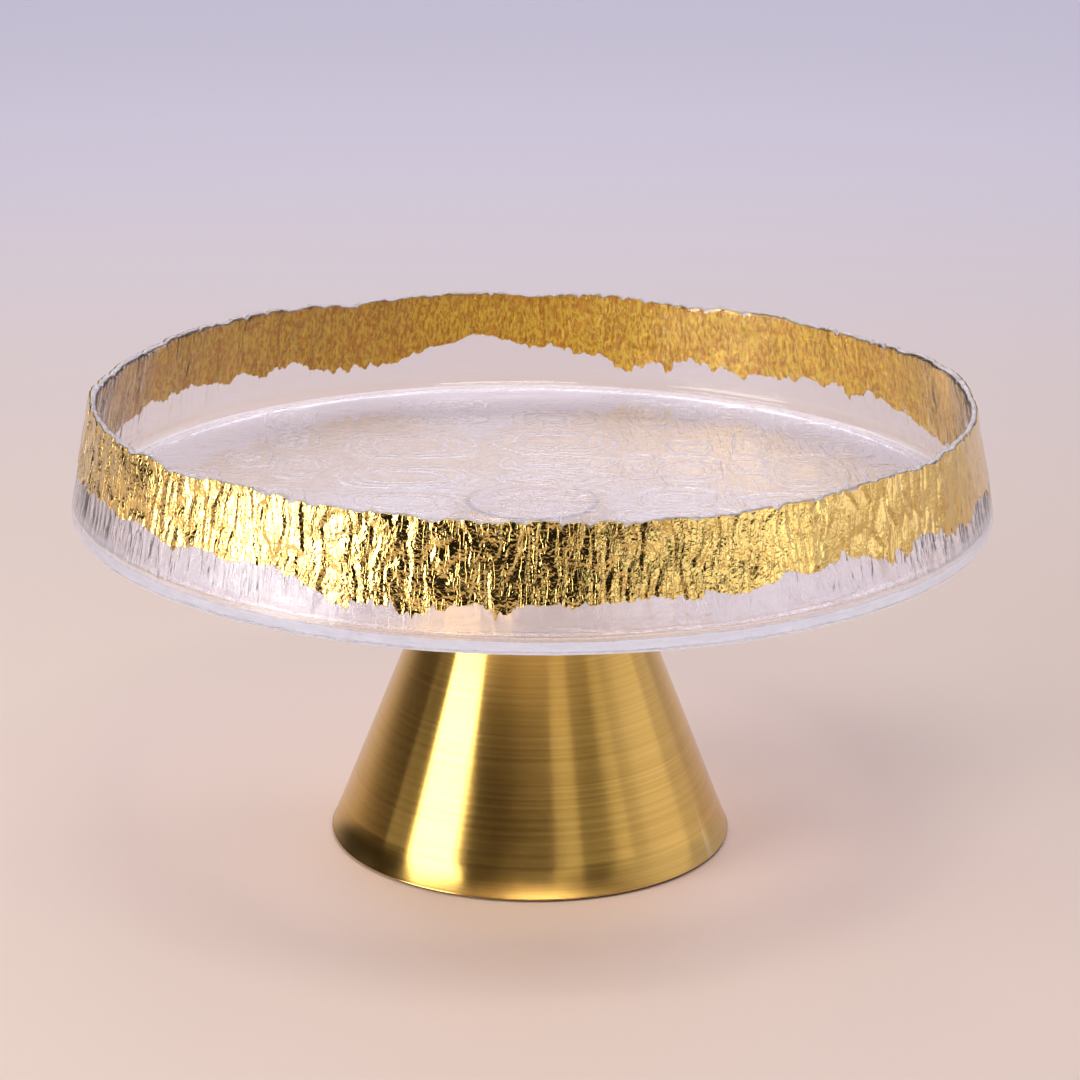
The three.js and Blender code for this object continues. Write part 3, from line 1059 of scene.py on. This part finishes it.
@dataclass
class GlassTray:
    """The dish: flat floor, inward-leaning wall, rounded foot and uneven rim.

    underside_rings holds the point count and the radius in millimetres of each ring under the floor.
    Those inside film_reach stand a film_gap clear of the adhesive.
    """

    around: int = 1920
    wall_rows: int = 22
    inner_rows: int = 12
    foot_fillet: float = 4.3 * MM
    inner_fillet: float = 3.6 * MM
    foot_thickness: float = 3.4 * MM
    rim_thickness: float = 2.4 * MM
    rim_edge: float = 0.5 * MM
    rim_round: float = 1.5 * MM
    lean: float = 6.7 * MM
    rim_chips: float = 0.95 * MM
    small_chips: float = 0.45
    ring_step: float = 0.8 * MM
    film_gap: float = 0.03 * MM
    foot_wrinkles: float = 0.09 * MM
    film_reach: float = 30
    wrinkle: WrappedNoise = WrappedNoise(24, 160, 1.4 * MM)
    small_wrinkle: WrappedNoise = WrappedNoise(25, 420, 0.9 * MM)
    underside_rings: tuple[tuple[int, float], ...] = (
        (30, 5), (60, 12), (120, 25), (240, 50), (480, 85), (960, 120),
    )
    floor_relief: float = 1.5 * MM
    foot_relief: float = 0.25
    plain_height: float = 2 * MM
    fade_height: float = 9 * MM
    sunk: float = 0.25 * MM
    soft_inside: float = 0.35 * MM
    floor_fade: float = 2 * MM
    fewest: int = 30
    thinning: float = 0.7
    ground_over: float = 0.06 * MM
    ground_under: float = 0.015 * MM
    relief: BarkRelief = field(default_factory=BarkRelief)
    cells: FloorCells = field(default_factory=FloorCells)

    def __post_init__(self) -> None:
        """Reads the tray's place and outline from the frame."""
        low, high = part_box("glass_tray")
        self.foot = high.x
        self.underside = low.z
        mounts = {m["name"]: m for m in frame["record"]["mounts"]}
        self.floor = mounts["tray_floor"]["pos_m"][2]
        self.outline = Outline("glass_tray")
        self.wall_start = self.underside + self.foot_fillet
        self.mean_rim = float(np.mean(self.outline.high))
        self.slope = -self.lean / (self.mean_rim - self.wall_start)

    def rim(self, turn: np.ndarray) -> np.ndarray:
        """Height of the uneven, slightly chipped rim.

        Args:
            turn: Places round the rim, in turns.

        Returns:
            Heights above the table.
        """
        scallops = creased(round_noise(16, 110, turn), width=0.3, level=0.8)
        chips = creased(round_noise(17, 330, turn), width=0.3, level=0.8)
        return self.outline.top(turn) + self.rim_chips * (scallops + self.small_chips * chips)

    def wall(self, turn: np.ndarray, height: np.ndarray) -> np.ndarray:
        """Outer radius of the wall with its relief, which fades out at the foot.

        Args:
            turn: Places round the wall, in turns.
            height: Heights above the table.

        Returns:
            The radii.
        """
        plain = self.foot + self.slope * (height - self.wall_start)
        up = ease((height - self.wall_start - self.plain_height) / self.fade_height)
        strength = self.foot_relief + (1 - self.foot_relief) * up
        return plain + strength * (self.relief.at(turn, height) - self.sunk)

    def _turns(self, count: int) -> np.ndarray:
        """Turns of the points of a ring."""
        return np.arange(count) / count

    def rings(self) -> list[np.ndarray]:
        """Rings of the whole dish.

        Returns:
            The rings, from the middle of the underside to the middle of the floor.
        """
        turn = self._turns(self.around)
        rim = self.rim(turn)
        rings = [
            circle(count, radius * MM, self.underside + (self.film_gap if radius < self.film_reach else 0.0))
            for count, radius in self.underside_rings
        ]
        middle = (self.foot - self.foot_fillet, self.wall_start)
        for share, (radius, height) in enumerate(arc(middle, self.foot_fillet, -90, 0, 6)):
            level = np.full_like(turn, height)
            wrinkle = self.wrinkle.at(turn, level) + 0.5 * self.small_wrinkle.at(turn, level) - 1.5
            rings.append(circle(self.around, radius + self.foot_wrinkles * wrinkle * min(share, 1), height))
        for share in np.linspace(0, 1, self.wall_rows + 1)[1:]:
            height = self.wall_start + share * (rim - self.rim_edge - self.wall_start)
            rings.append(circle(self.around, self.wall(turn, height), height))
        outer = self.wall(turn, rim)
        for radius, height in arc((0.0, 0.0), self.rim_edge, 20, 90, 3):
            rings.append(circle(self.around, outer - self.rim_edge + radius, rim - self.rim_edge + height))
        inner = self.foot - self.lean - self.rim_thickness
        for radius, height in arc((0.0, 0.0), self.rim_round, 90, 180, 5):
            rings.append(circle(self.around, inner + self.rim_round + radius, rim - self.rim_round + height))
        rings += self._inside(inner)
        return rings

    def _inside(self, rim_radius: float) -> list[np.ndarray]:
        """Rings down the inner wall, round the inner fillet and across the floor.

        Args:
            rim_radius: Inner radius at the rim.

        Returns:
            The rings in order.
        """
        count = self.around // 2
        turn = self._turns(count)
        rim = self.rim(turn)
        foot_radius = self.foot - self.foot_thickness
        foot_height = self.floor + self.inner_fillet
        soft = WrappedNoise(18, 150, 0.014)
        rings = []
        for share in np.linspace(0, 1, self.inner_rows + 1)[1:]:
            top = rim - self.rim_round
            height = top + share * (foot_height - top)
            fade = math.sin(math.pi * share) ** 0.5 if share < 1 else 0.0
            radius = rim_radius + share * (foot_radius - rim_radius)
            rings.append(circle(count, radius + self.soft_inside * fade * soft.at(turn, height), height))
        edge = foot_radius - self.inner_fillet
        for radius, height in arc((edge, foot_height), self.inner_fillet, 0, -90, 5)[1:]:
            rings.append(circle(count, radius, height))
        radius = edge - self.ring_step
        while radius > self.ring_step:
            ring = circle(count, radius, self.floor)
            fade = ease(np.array((edge - radius) / self.floor_fade))
            ring[:, 2] += fade * self.cells.at(ring[:, 0], ring[:, 1], edge)
            rings.append(ring)
            radius -= self.ring_step
            if count > self.fewest and radius < self.thinning * edge * count / (self.around // 2):
                count //= 2
        return rings

    def _ground_rim(self) -> bpy.types.Object:
        """The finely ground top of the rim, as a thin shell on the glass.

        Returns:
            The new piece.
        """
        turn = self._turns(self.around)
        rim = self.rim(turn)
        outer = self.wall(turn, rim)
        inner = self.foot - self.lean - self.rim_thickness
        corners = (
            (outer - self.rim_edge, self.rim_edge, 25, 90),
            (inner + self.rim_round, self.rim_round, 90, 135),
        )
        rings = []
        for over, order in ((self.ground_over, corners), (self.ground_under, corners[::-1])):
            for middle, size, start, end in order:
                ends = (start, end) if over == self.ground_over else (end, start)
                for radius, height in arc((0.0, 0.0), size + over, *ends, 4):
                    rings.append(circle(self.around, middle + radius, rim - size + height))
        return RingBody(rings, closed=True).make("ground_rim")

    def _mark(self, mesh: bpy.types.Mesh) -> None:
        """Stores where the floor's cells and the ground rim are, for the finish.

        Args:
            mesh: The dish's mesh.
        """
        points = points_of(mesh)
        away = np.hypot(points[:, 0], points[:, 1])
        level = np.abs(points[:, 2] - self.floor) < self.floor_relief
        on_floor = level & (away < self.foot - 2 * self.foot_thickness)
        depth = np.full(len(points), self.cells.far)
        depth[on_floor] = self.cells.depth(points[on_floor, 0], points[on_floor, 1])
        rim = self.rim(turn_of(points[:, 0], points[:, 1]))
        edge = ease((points[:, 2] - rim + 1.6 * self.rim_edge) / (0.6 * self.rim_edge))
        for name, values in ((CELL_MARK, depth), (RIM_MARK, edge)):
            marked = mesh.attributes.new(name, "FLOAT", "POINT")
            marked.data.foreach_set("value", values.astype(np.float32))

    def build(self) -> bpy.types.Object:
        """Builds and dresses the tray.

        Returns:
            The glass dish.
        """
        piece = RingBody(self.rings(), closed=False).make("glass_dish")
        self._mark(piece.data)
        glass = MouldedGlass(self.floor, self.cells.rings)
        piece.data.materials.append(glass.material())
        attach(piece, BODY)
        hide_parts("glass_tray")
        report(piece)
        # the ground rim shell carries the frosted edge and a painted highlight along the rim
        ground = self._ground_rim()
        ground.data.materials.append(GroundGlassAndHighlight().material())
        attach(ground, BODY)
        report(ground)
        return piece


@dataclass
class Gilding:
    """The amber size and the metal leaf on the outside of the wall."""

    tray: GlassTray
    rows: int = 18
    size_gap: float = 0.05 * MM
    size_thickness: float = 0.08 * MM
    leaf_gap: float = 0.18 * MM
    leaf_thickness: float = 0.10 * MM
    tear: float = 1.0 * MM
    chip: float = 0.7 * MM
    crisp: float = 0.005
    calmest: float = 0.35
    levels: float = 2.2
    swaying: float = 1.5
    stepped: float = 2.3
    fringed: float = 1.9
    dripping: float = 2.8
    fringe_level: float = 0.4
    rare: float = 0.45
    drip_edge: float = 0.12
    chip_edge: float = 0.2
    shortest: float = 4 * MM
    size_inset: float = 0.3 * MM

    def __post_init__(self) -> None:
        """Reads the leaf's upper and torn lower edges from the frame."""
        self.outline = Outline("gold_leaf")

    def torn_edge(self, turn: np.ndarray) -> np.ndarray:
        """Height of the ragged lower edge.

        Args:
            turn: Places round the wall, in turns.

        Returns:
            Heights above the table.
        """
        lively = self.calmest + (1 - self.calmest) * ease(0.5 + round_noise(36, 70, turn))
        broad = round_noise(31, 95, turn)
        steps = np.round(self.levels * round_noise(32, 300, turn)) / self.levels
        fringe = np.abs(round_noise(33, 760, turn)) - self.fringe_level
        drips = ease((round_noise(34, 230, turn) - self.rare) / self.drip_edge)
        torn = self.stepped * steps + self.fringed * fringe - self.dripping * drips
        ragged = self.swaying * broad + lively * torn
        return self.outline.bottom(turn) + self.tear * ragged

    def upper_edge(self, turn: np.ndarray) -> np.ndarray:
        """Height of the upper edge, just short of the rim and chipped here and there.

        Args:
            turn: Places round the wall, in turns.

        Returns:
            Heights above the table.
        """
        chips = ease((round_noise(35, 260, turn) - self.rare) / self.chip_edge)
        reach = self.outline.top(turn) - self.tray.outline.top(turn)
        lip = np.maximum(-reach - 0.5 * MM, 0.0)
        return self.tray.rim(turn) - 0.4 * self.tray.rim_edge - lip - self.chip * chips

    def skin(self, name: str, gap: float, thickness: float, inset: float, lift: float) -> bpy.types.Object:
        """A closed thin skin that follows the wall's relief.

        Args:
            name: Name of the piece.
            gap: Distance from the glass.
            thickness: Thickness of the skin.
            inset: How far its edges lie inside the leaf's.
            lift: 1 if it stands off the glass over the folds; 0 if it lies on the glass.

        Returns:
            The new piece.
        """
        count = self.tray.around
        turn = np.arange(count) / count
        top = self.upper_edge(turn) - inset
        low = np.minimum(self.torn_edge(turn) + inset, top - self.shortest)
        shares = np.linspace(0, 1, self.rows + 1)
        shares = np.concatenate([[0.0, self.crisp], shares[1:-1], [1.0 - self.crisp, 1.0]])
        rings = []
        for offset, order in ((gap + thickness, shares), (gap, shares[::-1])):
            for share in order:
                height = low + share * (top - low)
                radius = self.tray.wall(turn, height) + offset + lift * self.tray.relief.foil(turn, height)
                rings.append(circle(count, radius, height))
        return RingBody(rings, closed=True).make(name)

    def build(self) -> None:
        """Builds and dresses the size and the leaf."""
        size = self.skin("amber_size", self.size_gap, self.size_thickness, self.size_inset, 0.0)
        amber = MetalLeaf(
            name="amber_size",
            colour=(1.0, 0.77, 0.07, 1.0),
            # deep: painted shade colour in the size's folds
            deep=(0.66, 0.26, 0.003, 1.0),
            smooth=0.22,
            rough=0.40,
            crumple=0.34 * MM,
            fold_shade_weight=0.35,
            grain=0.8,
            fold=0.6,
            metal=0.42,
            smoother=1.0,
        )
        size.data.materials.append(amber.material())
        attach(size, BODY)
        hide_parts("leaf_size")
        leaf = self.skin("leaf_band", self.leaf_gap, self.leaf_thickness, 0.0, 1.0)
        gold = MetalLeaf(
            name="gold_leaf",
            colour=(0.98, 0.72, 0.25, 1.0),
            # deep: painted shade colour in the leaf's folds
            deep=(0.70, 0.44, 0.12, 1.0),
            smooth=0.05,
            rough=0.17,
            crumple=0.26 * MM,
            fold_shade_weight=0.25,
            grain=0.2,
            fold=0.28,
            metal=1.0,
            smoother=0.28,
            holes=0.8,
            varnish=0.25,
        )
        leaf.data.materials.append(gold.material())
        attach(leaf, BODY)
        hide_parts("gold_leaf")
        report(size)
        report(leaf)


# ---- pedestal and clamp


@dataclass
class Pedestal:
    """The hollow cone, with the disc, ring and pad inside it."""

    around: int = 360
    sheet: float = 1.2 * MM
    hem: float = 0.6 * MM
    neck_edge: float = 0.2 * MM
    rows: int = 12
    eased: float = 0.15 * MM

    def _cone(self) -> bpy.types.Object:
        """Builds the cone's sheet with eased edges.

        Returns:
            The cone.
        """
        low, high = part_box("pedestal_cone")
        points = points_of(frame["nodes"]["pedestal_cone"].data)
        radius = np.hypot(points[:, 0], points[:, 1])
        neck = float(radius[points[:, 2] > high.z - 0.01 * MM].max())
        base = float(radius.max())
        foot = low.z
        slope = (neck - base) / (high.z - foot)
        across = self.sheet * math.hypot(1, slope)
        shoulder = high.z - self.neck_edge
        outer = [(base + slope * (z - foot), z) for z in np.linspace(foot + self.hem, shoulder, self.rows)]
        bead = arc((base - self.hem, foot + self.hem), self.hem, -90, -10, 4)
        top = [(neck - self.neck_edge, high.z), (neck - across + self.neck_edge, high.z)]
        inner = [(base + slope * (z - foot) - across, z) for z in np.linspace(shoulder, foot, self.rows)]
        profile = [*bead, *outer, *top, *inner]
        return RingBody([circle(self.around, r, z) for r, z in profile], closed=True).make("brushed_cone")

    def build(self) -> None:
        """Builds the cone and dresses what is inside it."""
        cone = self._cone()
        cone.data.materials.append(BrushedGold().material())
        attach(cone, BODY)
        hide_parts("pedestal_cone")
        report(cone)
        mill = TurnedMetal("mill_steel", (0.50, 0.50, 0.51, 1.0), 0.42, 1500.0).material()
        foam = SoftPad("foam_pad", (0.03, 0.03, 0.032, 1.0), 1100.0).material()
        dress_node("top_disc", mill, self.eased)
        dress_node("base_ring", mill, self.eased)
        dress_node("anti_slip_pad", foam, 2 * self.eased)


@dataclass
class Clamp:
    """What holds the tray on the pedestal."""

    bevel: float = 0.15 * MM

    def build(self) -> None:
        """Dresses the clamp's pieces."""
        stainless = TurnedMetal("stainless_steel", (0.66, 0.67, 0.68, 1.0), 0.24, 2600.0).material()
        zinc = TurnedMetal("zinc_plate", (0.63, 0.65, 0.68, 1.0), 0.22, 1800.0).material()
        dress_node("bonding_plate", stainless, self.bevel)
        dress_node("bond_film", MilkyAdhesive().material(), 0.0)
        rubber = SoftPad("black_rubber", (0.02, 0.02, 0.02, 1.0), 1700.0).material()
        dress_node("top_gasket", rubber, self.bevel)
        for node in ("plain_washer", "lock_washer", "clamp_bolt"):
            dress_node(node, zinc, self.bevel)


def dress_node(node: str, material: bpy.types.Material, bevel: float) -> None:
    """Gives a CAD node its finish and eased edges.

    Args:
        node: Name of the node.
        material: Its finish.
        bevel: Width of its eased edges; none at 0.
    """
    piece = frame["nodes"][node]
    piece.data.materials.clear()
    piece.data.materials.append(material)
    if bevel > 0:
        weld = piece.modifiers.new("weld", "WELD")
        weld.merge_threshold = 0.001 * MM
        eased = piece.modifiers.new("eased_edges", "BEVEL")
        eased.width = bevel
        eased.segments = 2
        eased.limit_method = "ANGLE"
        eased.angle_limit = math.radians(30)
    LOG.info("%s: dressed with %s", node, material.name)


# ---- studio


@dataclass(frozen=True)
class SoftLight:
    """An area light that faces the stand, or shines straight down."""

    name: str
    bearing: float
    distance: float
    height: float
    size: tuple[float, float]
    power: float
    colour: tuple[float, float, float]
    aim: float = 0.1
    downwards: bool = False

    def build(self) -> None:
        """Places the light. The bearing is in degrees to the right of the viewer."""
        data = bpy.data.lights.new(self.name, "AREA")
        data.shape = "RECTANGLE"
        data.size, data.size_y = self.size
        data.energy = self.power
        data.color = self.colour
        light = bpy.data.objects.new(self.name, data)
        light.visible_camera = False
        bpy.context.scene.collection.objects.link(light)
        a = math.radians(self.bearing)
        light.location = Vector((math.sin(a) * self.distance, -math.cos(a) * self.distance, self.height))
        if not self.downwards:
            way = Vector((0, 0, self.aim)) - light.location
            light.rotation_euler = way.to_track_quat("-Z", "Y").to_euler()


@dataclass(frozen=True)
class Studio:
    """Plain pale floor, soft lights and the camera."""

    floor_size: float = 16.0
    floor_clouds: float = 3.0
    floor_tone: Colour = (0.75, 0.61, 0.51, 1.0)
    floor_light: Colour = (0.79, 0.645, 0.545, 1.0)
    floor_far: Colour = (0.78, 0.73, 0.80, 1.0)
    floor_fade: tuple[float, float] = (0.15, 1.4)
    floor_rough: float = 0.55
    reflected: Colour = (0.020, 0.017, 0.014, 1.0)
    dim: Colour = (0.40, 0.34, 0.33, 1.0)
    bright: Colour = (0.60, 0.58, 0.76, 1.0)
    turned_right: float = 0.8
    world_fade: tuple[float, float] = (-0.1, 0.8)
    world_strength: float = 0.85
    focal: float = 108.3
    sensor: float = 36.0
    camera_place: tuple[float, float, float] = (0.0025, -1.022, 0.4205)
    camera_pitch: float = 0.3034
    camera_roll: float = 0.0093

    def camera(self) -> None:
        """Places the camera."""
        data = bpy.data.cameras.new("camera")
        data.sensor_width = self.sensor
        data.lens = self.focal
        camera = bpy.data.objects.new("camera", data)
        bpy.context.scene.collection.objects.link(camera)
        camera.location = self.camera_place
        tilt = Euler((math.pi / 2 - self.camera_pitch, 0, 0)).to_quaternion()
        roll = Euler((0, 0, self.camera_roll)).to_quaternion()
        camera.rotation_euler = (tilt @ roll).to_euler()
        bpy.context.scene.camera = camera

    def floor(self) -> None:
        """Makes the floor."""
        half = self.floor_size / 2
        mesh = bpy.data.meshes.new("floor")
        corners = [(-half, -half, 0), (half, -half, 0), (half, half, 0), (-half, half, 0)]
        mesh.from_pydata(corners, [], [(0, 1, 2, 3)])
        floor = bpy.data.objects.new("floor", mesh)
        bpy.context.scene.collection.objects.link(floor)
        tree = Surface("pale_floor")
        place = tree.place()
        near = tree.mix(tree.noise(place, self.floor_clouds), self.floor_tone, self.floor_light)
        tone = tree.mix(tree.spread(tree.axes(place)[1], *self.floor_fade), near, self.floor_far)
        mesh.materials.append(tree.feed({"Base Color": tone, "Roughness": self.floor_rough}))

    def world(self) -> None:
        """Soft surroundings, bright behind the stand, with a dim half that only reflections show dark."""
        world = bpy.data.worlds.new("soft_room")
        bpy.context.scene.world = world
        world.use_nodes = True
        world.node_tree.nodes.clear()
        tree = Tree(world.node_tree)
        way = tree.axes(tree.add("ShaderNodeTexCoord").outputs["Generated"])
        side = tree.math("MULTIPLY_ADD", way[0], self.turned_right, way[1])
        back = tree.spread(side, *self.world_fade)
        path = tree.add("ShaderNodeLightPath").outputs
        seen = tree.math("MAXIMUM", path["Is Camera Ray"], path["Is Transmission Ray"])
        tone = tree.mix(back, tree.mix(seen, self.reflected, self.dim), self.bright)
        background = tree.add("ShaderNodeBackground", {"Color": tone, "Strength": self.world_strength})
        tree.add("ShaderNodeOutputWorld", {"Surface": background.outputs[0]})

    def build(self) -> None:
        """Builds the studio. Each light has its bearing, distance, height, size, power and colour."""
        self.camera()
        self.floor()
        self.world()
        lights = (
            SoftLight("window", -60.0, 1.6, 0.62, (0.9, 1.25), 25.0, (1.0, 0.97, 0.94)),
            SoftLight("low_window", -82.0, 1.6, 0.10, (0.6, 0.26), 0.3, (1.0, 0.97, 0.93)),
            SoftLight("front_panel", 24.0, 1.9, 0.85, (0.56, 1.1), 0.9, (1.0, 0.97, 0.93)),
            SoftLight("low_panel", 42.0, 1.8, 0.16, (1.4, 0.36), 1.8, (1.0, 0.97, 0.90)),
            SoftLight("right_fill", 80.0, 1.8, 0.75, (1.9, 1.5), 3.0, (1.0, 0.94, 0.87)),
            SoftLight("low_right", 100.0, 1.8, 0.14, (1.7, 0.34), 0.6, (1.0, 0.94, 0.84)),
            SoftLight("overhead", 15.0, 0.5, 1.75, (0.7, 0.5), 10.0, (1.0, 0.94, 0.88)),
            SoftLight("back_strip", 180.0, 1.2, 1.25, (1.2, 0.12), 3.2, (1.0, 0.98, 1.0)),
            SoftLight("back_glow", 180.0, 3.3, 2.5, (6.0, 3.2), 74.0, (0.88, 0.88, 1.0), 0.0, True),
        )
        for light in lights:
            light.build()
        bpy.context.scene.view_settings.view_transform = "Standard"


# ---- whole stand


def main() -> None:
    """Builds the stand and the studio."""
    logging.basicConfig(level=logging.INFO, format="%(name)s %(message)s")
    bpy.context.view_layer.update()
    Studio().build()
    tray = GlassTray()
    tray.build()
    Gilding(tray).build()
    Pedestal().build()
    Clamp().build()


if __name__ == "__main__":
    main()
